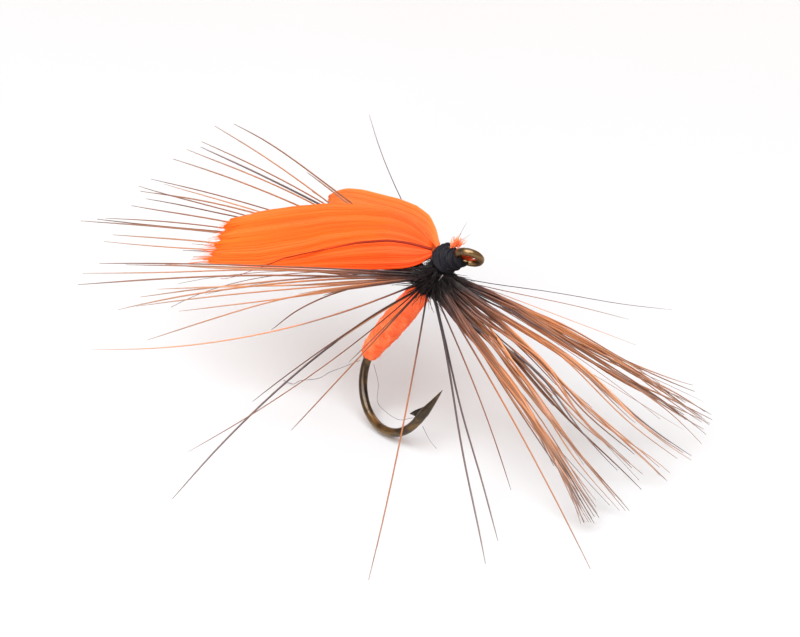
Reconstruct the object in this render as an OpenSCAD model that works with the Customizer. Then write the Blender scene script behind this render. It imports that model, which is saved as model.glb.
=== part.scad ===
// Dry fly: a feather-winged, hackled fishing fly tied on a down-eye hook.
// Millimetres. The hook frame has X along the shank towards the eye,
// Y to the fly's left and Z to its back. The whole fly is then turned
// to the pose it rests in on a flat surface, with the eye's centre at the origin.

/* [Resting pose] */
// nose-up pitch of the shank, degrees
pitch = 55; // [0:1:80]
// roll about the shank, belly turned to the fly's right, degrees
roll = 38; // [0:1:60]

/* [Hook] */
// wire radius
wire_r = 0.23; // [0.15:0.01:0.4]
// radius of the round bend, to the wire's centre
bend_r = 2.6; // [1.5:0.1:5]
// straight shank, from the bend to where the eye turns down
shank_length = 6.6; // [4:0.1:14]
// spear and point, from the bend to the tip
point_length = 2.5; // [1.5:0.05:5]
// full-width part of the spear
spear_length = 0.9; // [0.4:0.1:2]
// eye: angle turned down, degrees
eye_down = 32; // [0:1:45]
// eye: turn of the ring about its stem, degrees
eye_twist = -25; // [-45:1:45]
// eye: stem length to the ring's centre
eye_reach = 1.75; // [1:0.05:3]
// eye: ring radius to the wire's centre
ring_r = 0.6; // [0.4:0.05:1.2]
// eye: wire radius in the ring
ring_wire_r = 0.2; // [0.1:0.01:0.3]
// eye: radius of the hole
hole_r = 0.43; // [0.25:0.01:1]

/* [Thread and body] */
// thickness of the thread wound on the bare shank
underbody_skin = 0.06; // [0.03:0.01:0.15]
// how far round the bend the thread and body reach, degrees
body_bend_angle = 22; // [0:1:45]
// front end of the orange body
body_front = 4.3; // [3:0.1:8]
// body radius at its tail
body_tail_r = 0.46; // [0.35:0.02:0.8]
// body radius at its fullest
body_full_r = 0.68; // [0.4:0.02:1.2]
// body radius behind the hackle
body_front_r = 0.58; // [0.4:0.02:1]

/* [Hackle] */
// back end of the wound quill
collar_back = 4.5; // [3.5:0.05:8]
// front end of the wound quill
collar_front = 6.2; // [4.5:0.05:9]
// turns of quill
collar_turns = 6; // [2:1:8]
// quill radius
quill_r = 0.08; // [0.05:0.01:0.15]
// barb half-thickness at the root
barb_root_r = 0.06; // [0.03:0.005:0.12]
// barb half-thickness at the tip
barb_tip_r = 0.025; // [0.015:0.005:0.06]
// unevenness of the barbs' angles, degrees
barb_unevenness = 1.5; // [0:0.5:6]

/* [Wings] */
// distance along a wing from root to tip: right, left
wing_length = [12.7, 9.8];
// height of each wing above the shank line, degrees: right, left
wing_raise = [40, 55];
// spread of each wing from the fly's middle, degrees: right, left
wing_spread = [27, 3];
// thickness at the middle of a wing
wing_thickness = 0.2; // [0.1:0.02:0.5]
// bulge of each wing away from the other, across its width: right, left
wing_camber = [0.35, 0.06];

/* [Head] */
// fullest radius of the wound head
head_r = 0.7; // [0.4:0.02:1.2]
// how far the head sits towards the fly's back, over the wing roots
head_lift = 0.16; // [0:0.02:0.4]
// back end of the wraps that hold the wings
head_back = 6.34; // [5:0.01:9]
// where those wraps end and the head proper starts
wraps_front = 6.75; // [5:0.05:9]
// front end of the head, along the wire
head_front = 7.3; // [6:0.05:10]
// front end of the whip finish, along the wire
finish_front = 7.65; // [6:0.05:10]
// thickness of the clear cement
cement_skin = 0.03; // [0.01:0.01:0.1]

/* [Hidden] */
$fn = 48;
sides = 16;
barb_sides = 4;
barb_steps = 5;
gap = 0.01;

tie_s = -bend_r * body_bend_angle * PI / 180;
underbody_r = wire_r + underbody_skin;
collar_r = underbody_r + gap + 2 * quill_r;
needle_r = 0.02;
barb_cut = 0.22;

// ---- hackle: one line for each spray of barbs ----
// clock runs round the shank: 0 belly, 90 the fly's right, 180 back, 270 left.
// sweep leans a barb towards the bend, curl adds sweep and turn adds clock along it.
// place is where it leaves the quill, 0 at the back turn and 1 at the front one.
//  [clock, sweep, length, barbs, fan, curl, turn, place]
right_front = [
  [319, -10, 15.8, 6, 3, 10, 0, 0.95],
  [323, -8, 15.6, 5, 4, 10, 4, 0.9],
  [329, -6, 15.8, 4, 5, 8, 0, 0.8],
  [335, -5, 15.2, 4, 5, 10, 0, 0.75],
  [316, -14, 12.6, 3, 6, 6, 6, 0.85],
  [330, -10, 13.6, 3, 8, 6, 6, 0.8]
];
belly_web = [
  [351, -1, 15.8, 7, 4, 12, 0, 0.35],
  [354, -2, 16.0, 5, 4, 8, 0, 0.25],
  [344, -4, 14.4, 4, 8, 8, 0, 0.5],
  [348, -7, 13.8, 4, 10, 6, 0, 0.45]
];
belly = [
  [0, -2, 18.6, 1, 0, 4, 0, 0.4],
  [12, 3, 16.0, 1, 0, -8, 4, 0.3],
  [13, 7, 16.8, 1, 0, 4, 0, 0.3],
  [29, 15, 18.0, 1, 0, -10, 6, 0.2],
  [353, 4, 12.4, 2, 8, 0, 0, 0.4]
];
right_rear = [
  [63, 32, 18.0, 1, 0, 26, -20, 0.1],
  [66, 27, 16.2, 1, 0, 0, 6, 0.2],
  [62, 20, 12.4, 2, 6, 10, 0, 0.1],
  [98, 31, 17.4, 1, 0, -14, 24, 0.1],
  [94, 21, 16.0, 2, 4, 6, -8, 0.5],
  [106, 26, 15.0, 2, 6, 10, 4, 0.4],
  [112, 33, 14.6, 1, 0, -6, -30, 0.3],
  [117, 31, 17.4, 2, 2, 4, 0, 0.3],
  [119, 30, 16.6, 1, 0, 4, 6, 0.5],
  [112, 33, 13.0, 3, 9, 8, 0, 0.2],
  [85, 29, 9.2, 1, 0, -10, -70, 0.5]
];
back = [
  [150, 38, 19.6, 3, 4, 6, -8, 0.3],
  [153, 42, 18.4, 2, 4, 6, -8, 0.2],
  [159, 37, 19.0, 4, 5, 6, -10, 0.4],
  [165, 35, 18.6, 3, 5, 6, -12, 0.3],
  [170, 29, 18.2, 3, 3, 6, -8, 0.5],
  [172, 24, 17.8, 2, 2, 6, -4, 0.4],
  [176, 21, 17.2, 1, 0, 4, 0, 0.5],
  [160, 45, 15.0, 3, 6, 4, -8, 0.2]
];
left = [
  [205, 17, 17.8, 1, 0, 0, 12, 0.8],
  [270, 5, 18.0, 1, 0, -4, 0, 0.7],
  [312, -6, 14.8, 2, 6, 4, 0, 0.5],
  [304, -14, 10.6, 2, 8, 6, 0, 0.9]
];

// ---- wings: [part of the length, edge towards the back, edge towards the body] ----
wing_right_stations = [
  [0.00, 0.30, 0.20], [0.04, 1.05, 0.66], [0.10, 1.70, 0.92], [0.18, 2.10, 1.02],
  [0.30, 2.25, 1.08], [0.45, 2.25, 1.12], [0.60, 2.05, 1.12], [0.75, 1.75, 1.12],
  [0.88, 1.40, 1.10], [0.96, 1.05, 1.04], [1.00, 0.75, 0.95]
];
wing_left_stations = [
  [0.00, 0.28, 0.18], [0.05, 0.85, 0.60], [0.13, 1.35, 1.05], [0.25, 1.55, 1.35],
  [0.40, 1.60, 1.50], [0.56, 1.55, 1.50], [0.72, 1.40, 1.40], [0.85, 1.15, 1.15],
  [0.94, 0.80, 0.80], [1.00, 0.35, 0.35]
];
// where each wing leaves the head: right, left
wing_root = [[6.35, -0.26, 0.95], [6.35, 0.16, 0.97]];

// ---- small helpers ----
function unit(v) = v / norm(v);
function flat(lists) = [for (a = lists) for (b = a) b];

// the wire's centre line: negative runs round the bend, past the shank turns down
function wire_point(s) =
  s < 0 ? [bend_r * sin(s / bend_r * 180 / PI), 0, bend_r * (cos(s / bend_r * 180 / PI) - 1)]
  : s <= shank_length ? [s, 0, 0]
  : [shank_length + (s - shank_length) * cos(eye_down), 0, -(s - shank_length) * sin(eye_down)];
function wire_back(s) =
  s < 0 ? [sin(s / bend_r * 180 / PI), 0, cos(s / bend_r * 180 / PI)]
  : s < shank_length - 0.01 ? [0, 0, 1]
  : s < shank_length + 0.01 ? [sin(eye_down / 2), 0, cos(eye_down / 2)]
  : [sin(eye_down), 0, cos(eye_down)];

function ring_on_wire(s, r, lift = 0) = [
  for (k = [0:sides - 1])
    let (a = 360 * k / sides)
      wire_point(s) + lift * wire_back(s) + r * (cos(a) * wire_back(s) + sin(a) * [0, 1, 0])
];

// faces of a loop of rings, n points each, starting at point number base
function loop_faces(m, n, base = 0) = [
  for (i = [0:m - 1])
    for (k = [0:n - 1])
      let (j = (i + 1) % m, l = (k + 1) % n)
        for (t = [0, 1])
          t == 0 ? [base + i * n + k, base + i * n + l, base + j * n + l]
          : [base + i * n + k, base + j * n + l, base + j * n + k]
];

// a wound skin round the wire: stations are [distance along the wire, radius, lift]
module wound_skin(stations, inner) {
  outer = [for (p = stations) ring_on_wire(p[0], p[1], len(p) > 2 ? p[2] : 0)];
  inside = [
    for (i = [len(stations) - 1:-1:0])
      ring_on_wire(stations[i][0], is_list(inner) ? inner[i] : inner,
        is_list(inner) ? stations[i][2] : 0)
  ];
  rings = concat(outer, inside);
  polyhedron(flat(rings), loop_faces(len(rings), sides), convexity = 8);
}

// ---- barbs ----
function barb_heading(clock, sweep) =
  [-sin(sweep), -cos(sweep) * sin(clock), -cos(sweep) * cos(clock)];
function barb_mid(b, k) = barb_heading(
  b[0] + b[4] * ((k + 0.5) / barb_steps - 0.5),
  b[1] + b[3] * ((k + 0.5) / barb_steps - 0.5));
function barb_walk(b, k) =
  k == 0 ? [b[5], -b[6] * sin(b[0]), -b[6] * cos(b[0])]
  : barb_walk(b, k - 1) + b[2] / barb_steps * barb_mid(b, k - 1);
function barb_ring(b, k) =
  let (
    c = barb_walk(b, k),
    t = barb_mid(b, min(max(k - 0.5, 0), barb_steps - 1)),
    u = unit(cross(t, [1, 0, 0])),
    v = cross(t, u),
    r = b[7] + (barb_tip_r - b[7]) * k / barb_steps
  )
    [for (q = [0:barb_sides - 1]) c + r * (cos(90 * q) * u + sin(90 * q) * v)];
function barb_points(b) = flat([for (k = [0:barb_steps]) barb_ring(b, k)]);
function barb_faces(base) =
  let (n = barb_sides, m = barb_steps + 1)
    concat(
      [
        for (i = [0:m - 2])
          for (k = [0:n - 1])
            let (l = (k + 1) % n)
              for (t = [0, 1])
                t == 0 ? [base + i * n + k, base + (i + 1) * n + l, base + i * n + l]
                : [base + i * n + k, base + (i + 1) * n + k, base + (i + 1) * n + l]
      ],
      [[base, base + 1, base + 2], [base, base + 2, base + 3]],
      [
        [base + (m - 1) * n, base + (m - 1) * n + 2, base + (m - 1) * n + 1],
        [base + (m - 1) * n, base + (m - 1) * n + 3, base + (m - 1) * n + 2]
      ]
    );

// each barb: [clock, sweep, length, curl, turn, place on the shank, root radius, half-thickness]
function spray_barbs(spray, seed) =
  let (n = spray[3], even = rands(-1, 1, 4 * n, seed))
    [
      for (i = [0:n - 1])
        let (fan = n == 1 ? 0 : spray[4] * (2 * i / (n - 1) - 1))
          [
            spray[0] + fan + (n == 1 ? 0 : barb_unevenness * even[4 * i]),
            spray[1] + (n == 1 ? 0 : 1.5 * barb_unevenness * even[4 * i + 1]),
            spray[2] * (n == 1 ? 1 : 1 + 0.04 * even[4 * i + 2]),
            spray[5],
            spray[6],
            collar_back + 0.1 + (collar_front - collar_back - 0.2)
              * min(1, max(0, spray[7] + (n == 1 ? 0 : 0.2 * even[4 * i + 3]))),
            collar_r + 0.02,
            barb_root_r
          ]
    ];
module barbs(sprays, seed) {
  all = flat([for (i = [0:len(sprays) - 1]) spray_barbs(sprays[i], seed + i)]);
  n = barb_sides * (barb_steps + 1);
  polyhedron(
    flat([for (b = all) barb_points(b)]),
    flat([for (i = [0:len(all) - 1]) barb_faces(i * n)]),
    convexity = 10
  );
}

// ---- wings ----
function wing_along(w, side) = let (a = wing_raise[w], e = wing_spread[w])
  [-cos(a) * cos(e), side * sin(e), sin(a) * cos(e)];
function wing_up(w) = let (a = wing_raise[w]) [sin(a), 0, cos(a)];
function wing_ring(w, side, station) =
  let (
    along = wing_along(w, side),
    up = wing_up(w),
    inward = side * cross(up, along),
    c = wing_root[w] + station[0] * wing_length[w] * along,
    half = wing_thickness / 2 * (1.25 - 0.75 * station[0]),
    across = [for (k = [0:4]) k / 4],
    full = station[1] + station[2],
    bow = wing_camber[w] * min(1, station[0] * 5),
    place = [
      for (k = across)
        c + (station[1] - k * full) * up - bow * (1 - pow(2 * k - 1, 2)) * inward
    ],
    thick = [for (k = across) half * (1 - 0.6 * pow(2 * k - 1, 2))]
  )
    concat(
      [for (k = [0:4]) place[k] + thick[k] * inward],
      [for (k = [4:-1:0]) place[k] - thick[k] * inward]
    );
module wing(w, side, stations) {
  m = len(stations);
  n = 10;
  points = flat([for (p = stations) wing_ring(w, side, p)]);
  walls = [
    for (i = [0:m - 2])
      for (k = [0:n - 1])
        let (l = (k + 1) % n)
          for (t = [0, 1])
            t == 0 ? [i * n + k, i * n + l, (i + 1) * n + l]
            : [i * n + k, (i + 1) * n + l, (i + 1) * n + k]
  ];
  ends = [
    for (e = [0, (m - 1) * n])
      for (k = [0:3])
        for (t = [0, 1])
          let (a = e + k, b = e + k + 1, c = e + 8 - k, d = e + 9 - k)
            e == 0
            ? (t == 0 ? [a, c, b] : [a, d, c])
            : (t == 0 ? [a, b, c] : [a, c, d])
  ];
  polyhedron(points, side < 0 ? flip(concat(walls, ends)) : concat(walls, ends), convexity = 6);
}
function flip(faces) = [for (f = faces) [for (i = [len(f) - 1:-1:0]) f[i]]];

// ---- sub-parts ----
module hook() color([0.22, 0.18, 0.13]) rest() union() {
  // shank
  rotate([0, 90, 0]) cylinder(r = wire_r, h = shank_length);
  // round bend
  translate([0, 0, -bend_r]) rotate([0, -90, 0]) rotate([90, 0, 0])
    rotate_extrude(angle = 180) translate([bend_r, 0]) circle(r = wire_r);
  // spear and needle point
  translate([0, 0, -2 * bend_r]) rotate([0, 90, 0]) {
    cylinder(r = wire_r, h = spear_length);
    translate([0, 0, spear_length])
      cylinder(r1 = wire_r, r2 = needle_r, h = point_length - spear_length);
  }
  // barb, raised from the inner side of the spear
  translate([0, barb_cut / 2, -2 * bend_r]) rotate([90, 0, 0]) linear_extrude(barb_cut)
    polygon([[0.12, 0.12], [0.1, 0.3], [-0.17, 0.67], [1.05, 0.24], [1.0, 0.1]]);
  // stem turned down to the eye, saddled to the ring
  translate([shank_length, 0, 0]) sphere(r = wire_r);
  difference() {
    translate([shank_length, 0, 0]) rotate([0, 90 + eye_down, 0])
      cylinder(r1 = wire_r, r2 = ring_wire_r, h = eye_reach - ring_r);
    at_eye() rotate_extrude() translate([ring_r, 0]) circle(r = ring_wire_r + gap);
  }
}

// from the middle of the eye, with Z along its hole
module at_eye()
  translate([shank_length, 0, 0]) rotate([0, 90 + eye_down, 0])
    translate([0, 0, eye_reach]) rotate([0, 0, eye_twist]) rotate([0, 90, 0]) children();

// the wire's end closed into a ring, with a narrow true-round land in the hole
module hook_eye() color([0.22, 0.18, 0.13]) rest() at_eye() difference() {
  rotate_extrude() translate([ring_r, 0]) circle(r = ring_wire_r);
  translate([0, 0, -1]) cylinder(r = hole_r, h = 2);
}

module thread_underbody() color([0.12, 0.11, 0.12]) rest()
  wound_skin([[tie_s, underbody_r], [tie_s / 2, underbody_r], [-0.01, underbody_r],
    [collar_front, underbody_r]], wire_r + gap);

module body_dubbing() color([1.0, 0.42, 0.24]) rest()
  wound_skin([
    [tie_s + 0.22, body_tail_r],
    [tie_s + 0.5, body_tail_r + 0.05],
    [-0.01, body_tail_r + 0.1],
    [0.8, body_full_r - 0.05],
    [1.8, body_full_r],
    [3.0, body_full_r - 0.02],
    [body_front - 0.3, body_front_r],
    [body_front, body_front_r - 0.12]
  ], underbody_r + gap);

module body_tail_turns() color([0.95, 0.36, 0.2]) rest()
  wound_skin([
    [tie_s, underbody_r + 0.06],
    [tie_s + 0.07, underbody_r + 0.12],
    [tie_s + 0.14, underbody_r + 0.12],
    [tie_s + 0.21, underbody_r + 0.08]
  ], underbody_r + gap);

// the quill is a tight spiral of turns, the barbs' foundation
module hackle_quill() color([0.16, 0.12, 0.11]) rest() {
  steps = 12 * collar_turns;
  n = 6;
  r = underbody_r + gap + quill_r;
  rings = [
    for (i = [0:steps])
      let (a = 30 * i, x = collar_back + quill_r + (collar_front - collar_back - 2 * quill_r) * i / steps)
        [for (k = [0:n - 1])
          let (b = 60 * k, q = r + quill_r * cos(b))
            [x + quill_r * sin(b), -q * sin(a), -q * cos(a)]]
  ];
  walls = [
    for (i = [0:steps - 1])
      for (k = [0:n - 1])
        let (l = (k + 1) % n)
          for (t = [0, 1])
            t == 0 ? [i * n + k, (i + 1) * n + l, i * n + l]
            : [i * n + k, (i + 1) * n + k, (i + 1) * n + l]
  ];
  e = steps * n;
  polyhedron(
    flat(rings),
    concat(walls, [[0, 1, 2, 3, 4, 5]], [[e + 5, e + 4, e + 3, e + 2, e + 1, e]]),
    convexity = 10
  );
}

// trimmed end of the quill, pale where it was cut
module hackle_quill_butt() color([0.78, 0.74, 0.7]) rest()
  translate([collar_front - 0.55, -0.1, -collar_r - 0.04]) rotate([0, 60, -25])
    cylinder(r1 = 0.05, r2 = 0.045, h = 0.75, $fn = 8);

module hackle_barbs_right_front() color([0.45, 0.25, 0.17]) rest() barbs(right_front, 27);
module hackle_barbs_web() color([0.4, 0.2, 0.13]) rest() barbs(belly_web, 31);
module hackle_barbs_belly() color([0.36, 0.26, 0.2]) rest() barbs(belly, 51);
module hackle_barbs_right_rear() color([0.42, 0.26, 0.19]) rest() barbs(right_rear, 71);
module hackle_barbs_back() color([0.5, 0.32, 0.24]) rest() barbs(back, 91);
module hackle_barbs_left() color([0.35, 0.28, 0.25]) rest() barbs(left, 111);

// thread band in front of the hackle
module hackle_tie_band() color([0.1, 0.1, 0.11]) rest()
  wound_skin([
    [collar_front + gap, underbody_r + 0.16],
    [head_back - gap, underbody_r + 0.2]
  ], wire_r + gap);

module wing_right() color([1.0, 0.43, 0.12]) rest() wing(0, -1, wing_right_stations);
module wing_left() color([1.0, 0.5, 0.18]) rest() wing(1, 1, wing_left_stations);

// stub ends of the wing feathers, cut short behind the eye
module wing_butts() color([0.98, 0.5, 0.33]) rest()
  for (b = [
    [-0.26, 0.36, 62, 16, 0.55], [-0.12, 0.42, 50, 6, 0.68], [0.04, 0.42, 58, -2, 0.62],
    [0.18, 0.40, 44, -10, 0.7], [0.30, 0.34, 66, -20, 0.5], [-0.04, 0.50, 30, 2, 0.6],
    [-0.20, 0.48, 40, 12, 0.62], [0.12, 0.50, 34, -6, 0.58]
  ])
    translate([7.42, b[0], b[1]]) rotate([0, -b[2], b[3]]) rotate([0, 90, 0])
      cylinder(r1 = 0.05, r2 = 0.07, h = b[4], $fn = 6);

wraps_profile = [
  [head_back, 0.56, head_lift / 2], [head_back + 0.08, head_r, head_lift],
  [shank_length, head_r + 0.03, head_lift], [wraps_front, head_r, head_lift]
];
head_profile = [
  [wraps_front + 0.01, head_r - 0.02, head_lift], [wraps_front + 0.2, head_r, head_lift],
  [head_front - 0.15, head_r - 0.12, 0.1], [head_front, 0.44, 0.05]
];
finish_profile = [
  [head_front + 0.01, 0.43, 0], [head_front + 0.18, 0.38, 0], [finish_front, 0.27, 0]
];
module wing_tie_wraps() color([0.11, 0.1, 0.12]) rest() wound_skin(wraps_profile, wire_r + gap);
module head_thread() color([0.1, 0.1, 0.12]) rest() wound_skin(head_profile, wire_r + gap);
module whip_finish() color([0.14, 0.13, 0.14]) rest() wound_skin(finish_profile, wire_r + gap);

// clear cement over the front of the head
module head_cement() color([0.25, 0.24, 0.26]) rest() {
  wound_skin(
    [for (p = head_profile) [p[0], p[1] + cement_skin, p[2]]],
    [for (p = head_profile) p[1] + 0.004]
  );
}

// cut end of the tying thread
module thread_tag() color([0.6, 0.58, 0.6]) rest()
  translate([7.5, -0.30, -0.5]) rotate([40, 75, -30]) cylinder(r = 0.03, h = 0.5, $fn = 6);

// ---- the fly in its resting pose, eye centre at the origin ----
module rest() {
  rotate([0, -pitch, 0]) rotate([-roll, 0, 0])
    translate(-[shank_length + eye_reach * cos(eye_down), 0, -eye_reach * sin(eye_down)])
      children();
}

hook();
hook_eye();
thread_underbody();
body_dubbing();
body_tail_turns();
hackle_quill();
hackle_quill_butt();
hackle_barbs_right_front();
hackle_barbs_right_rear();
hackle_barbs_belly();
hackle_barbs_web();
hackle_barbs_back();
hackle_barbs_left();
hackle_tie_band();
wing_right();
wing_left();
wing_tie_wraps();
wing_butts();
head_thread();
whip_finish();
head_cement();
thread_tag();
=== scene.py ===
"""Dry fly: the looks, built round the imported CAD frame.

Shapes are made in the hook's own frame, in millimetres: X along the shank to the eye, Y to the fly's left
and Z to its back, from the start of the bend. place() turns them to the resting pose, in metres.
"""

import math

import bpy
import mathutils
import numpy as np
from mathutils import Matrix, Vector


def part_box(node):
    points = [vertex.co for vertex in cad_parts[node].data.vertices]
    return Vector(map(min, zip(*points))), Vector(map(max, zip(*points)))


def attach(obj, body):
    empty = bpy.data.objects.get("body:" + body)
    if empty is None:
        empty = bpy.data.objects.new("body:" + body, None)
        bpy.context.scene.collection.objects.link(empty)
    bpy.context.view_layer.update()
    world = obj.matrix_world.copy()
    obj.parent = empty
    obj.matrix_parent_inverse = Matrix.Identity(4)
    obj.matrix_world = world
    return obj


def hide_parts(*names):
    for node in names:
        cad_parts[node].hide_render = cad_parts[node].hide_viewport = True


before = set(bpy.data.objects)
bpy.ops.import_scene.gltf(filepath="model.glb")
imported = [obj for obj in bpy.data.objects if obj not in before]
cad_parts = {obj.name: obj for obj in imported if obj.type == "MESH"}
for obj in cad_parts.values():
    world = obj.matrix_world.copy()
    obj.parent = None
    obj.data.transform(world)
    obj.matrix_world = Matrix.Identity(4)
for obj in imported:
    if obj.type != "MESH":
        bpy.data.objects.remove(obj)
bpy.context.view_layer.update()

MM = 0.001
LEFT = np.array([0, 1, 0])
BODY = "fly"

# ---------------------------------------------------------------- the hook's frame
PITCH = math.radians(55)
ROLL = math.radians(38)
WIRE_R = 0.23
BEND_R = 2.6
SHANK = 6.6
EYE_DOWN = math.radians(32)
EYE_TWIST = math.radians(-25)
EYE_REACH = 1.75
RING_R = 0.6
RING_WIRE_R = 0.2
UNDERBODY_R = WIRE_R + 0.06
COLLAR_BACK = 4.5
COLLAR_FRONT = 6.2
TIE_ANGLE = math.radians(22)
BODY_BACK = -BEND_R * TIE_ANGLE
BODY_FRONT = 4.3
HEAD_BACK = 6.34
WRAPS_FRONT = 6.75
HEAD_FRONT = 7.3
FINISH_FRONT = 7.65
HEAD_R = 0.7
HEAD_LIFT = 0.16
FURROW_PITCH = 0.55
DUBBING_FIBRES = 1500
ROOT_FIBRES = 1500
TUFT_STUBS = 70


def turn_x(a):
    return np.array([[1, 0, 0], [0, math.cos(a), -math.sin(a)], [0, math.sin(a), math.cos(a)]])


def turn_y(a):
    return np.array([[math.cos(a), 0, math.sin(a)], [0, 1, 0], [-math.sin(a), 0, math.cos(a)]])


REST = turn_y(-PITCH) @ turn_x(-ROLL)
EYE = np.array([SHANK + EYE_REACH * math.cos(EYE_DOWN), 0, -EYE_REACH * math.sin(EYE_DOWN)])
# the eye's own directions: out along its stem, to the fly's back, and across the ring
EYE_OUT = np.array([math.cos(EYE_DOWN), 0, -math.sin(EYE_DOWN)])
EYE_BACK = np.array([math.sin(EYE_DOWN), 0, math.cos(EYE_DOWN)])
EYE_ACROSS = math.cos(EYE_TWIST) * LEFT + math.sin(EYE_TWIST) * EYE_BACK
# the fly rests on the lowest barbs of its web
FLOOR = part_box("hackle_barbs_web")[0].z


def place(points):
    """Hook-frame millimetres to the resting fly, in metres."""
    return (np.asarray(points, float) - EYE) @ REST.T * MM


def unplace(points):
    """The other way: metres in the resting pose to hook-frame millimetres."""
    return np.asarray(points, float) / MM @ REST + EYE


def unit(v):
    v = np.asarray(v, float)
    return v / np.linalg.norm(v, axis=-1, keepdims=True)


def wire_point(s):
    """A point on the wire's centre line: below 0 it runs round the bend, past the shank it turns down."""
    if s < 0:
        return np.array([BEND_R * math.sin(s / BEND_R), 0, BEND_R * (math.cos(s / BEND_R) - 1)])
    if s <= SHANK:
        return np.array([s, 0, 0])
    past = s - SHANK
    return np.array([SHANK + past * math.cos(EYE_DOWN), 0, -past * math.sin(EYE_DOWN)])


def wire_back(s):
    """The direction of the fly's back at that point, square to the wire, eased over the eye's corner."""
    if s < 0:
        return np.array([math.sin(s / BEND_R), 0, math.cos(s / BEND_R)])
    ease = min(1, max(0, (s - SHANK + 0.15) / 0.3)) * EYE_DOWN
    return np.array([math.sin(ease), 0, math.cos(ease)])


def round_wire(s, radius, angle, lift=0.0):
    """Points round the wire, by angle from the fly's back to its left; lift moves their centre to the back."""
    back = wire_back(s)
    radius, angle = np.asarray(radius, float)[..., None], np.asarray(angle, float)[..., None]
    return wire_point(s) + lift * back + radius * (np.cos(angle) * back + np.sin(angle) * LEFT)


def full_circle(sides):
    return 2 * math.pi * np.arange(sides) / sides


# ---------------------------------------------------------------- mesh building
def smooth_line(points, n):
    """n points on a Catmull-Rom curve through the given ones."""
    p = np.asarray(points, float)
    p = np.vstack([2 * p[0] - p[1], p, 2 * p[-1] - p[-2]])
    at = np.linspace(0, len(p) - 3, n)
    i = np.minimum(at.astype(int), len(p) - 4)
    t = (at - i)[:, None]
    a, b, c, d = p[i], p[i + 1], p[i + 2], p[i + 3]
    return 0.5 * (2 * b + (c - a) * t + (2 * a - 5 * b + 4 * c - d) * t ** 2 + (3 * b - a - 3 * c + d) * t ** 3)


def carried_frames(path, side):
    """Two directions square to the path at each point, carried along it without twisting."""
    tangent = unit(np.gradient(path, axis=0))
    u = np.zeros_like(path)
    current = np.asarray(side, float)
    for i, t in enumerate(tangent):
        current = current - current @ t * t
        length = np.linalg.norm(current)
        if length < 1e-6:
            current = np.cross(t, [0.31, 0.52, 0.79])
            length = np.linalg.norm(current)
        current = current / length
        u[i] = current
    return u, np.cross(tangent, u)


class Shells:
    """Closed shells gathered into one mesh, with numbers kept at each vertex for the materials."""

    def __init__(self, *marks):
        self.points, self.faces = [], []
        self.marks = {name: [] for name in marks}
        self.count = 0

    def add(self, points, faces, **marks):
        self.points.append(np.asarray(points, float))
        self.faces += [[k + self.count for k in f] for f in faces]
        n = len(points)
        for name in self.marks:
            self.marks[name].append(np.broadcast_to(np.asarray(marks.get(name, 0.0), float), (n,)))
        self.count += n

    def tube(self, path, wide, high=None, sides=6, side=(0.2, 0.3, 0.9), turn=0.0, **marks):
        """A closed tube along a path. wide and high are half-sizes; marks are one number or one per path point."""
        path = np.asarray(path, float)
        n = len(path)
        wide = np.broadcast_to(np.asarray(wide, float), (n,))
        high = wide if high is None else np.broadcast_to(np.asarray(high, float), (n,))
        u, v = carried_frames(path, side)
        angle = full_circle(sides) + turn
        ring = (
            path[:, None]
            + np.cos(angle)[None, :, None] * (wide[:, None] * u)[:, None]
            + np.sin(angle)[None, :, None] * (high[:, None] * v)[:, None]
        )
        faces = [
            (i * sides + k, (i + 1) * sides + k, (i + 1) * sides + (k + 1) % sides, i * sides + (k + 1) % sides)
            for i in range(n - 1)
            for k in range(sides)
        ]
        faces.append(tuple(range(sides)))
        faces.append(tuple((n - 1) * sides + k for k in reversed(range(sides))))
        spread = {name: np.repeat(np.broadcast_to(np.asarray(m, float), (n,)), sides) for name, m in marks.items()}
        self.add(ring.reshape(-1, 3), faces, **spread)

    def sleeve(self, rings, **marks):
        """A closed hollow sleeve: each ring is joined to the next, and the last to the first."""
        rings = np.array(rings)
        count, sides = rings.shape[:2]
        faces = [
            (i * sides + k, i * sides + (k + 1) % sides, (i + 1) % count * sides + (k + 1) % sides,
             (i + 1) % count * sides + k)
            for i in range(count)
            for k in range(sides)
        ]
        self.add(rings.reshape(-1, 3), faces, **marks)

    def build(self, name, material):
        """The mesh object, turned to the resting pose."""
        mesh = bpy.data.meshes.new(name)
        mesh.from_pydata(place(np.vstack(self.points)).tolist(), [], self.faces)
        for mark, values in self.marks.items():
            layer = mesh.attributes.new(mark, "FLOAT", "POINT")
            layer.data.foreach_set("value", np.concatenate(values).astype(np.float32))
        mesh.polygons.foreach_set("use_smooth", [True] * len(mesh.polygons))
        mesh.materials.append(material)
        mesh.validate()
        piece = bpy.data.objects.new(name, mesh)
        bpy.context.scene.collection.objects.link(piece)
        return piece


def finish_piece(piece, body, slot, *nodes):
    """Rides the piece on its body and stands it for its CAD nodes; its slot argument is not used."""
    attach(piece, body)
    if nodes:
        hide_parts(*nodes)
    return piece


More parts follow.
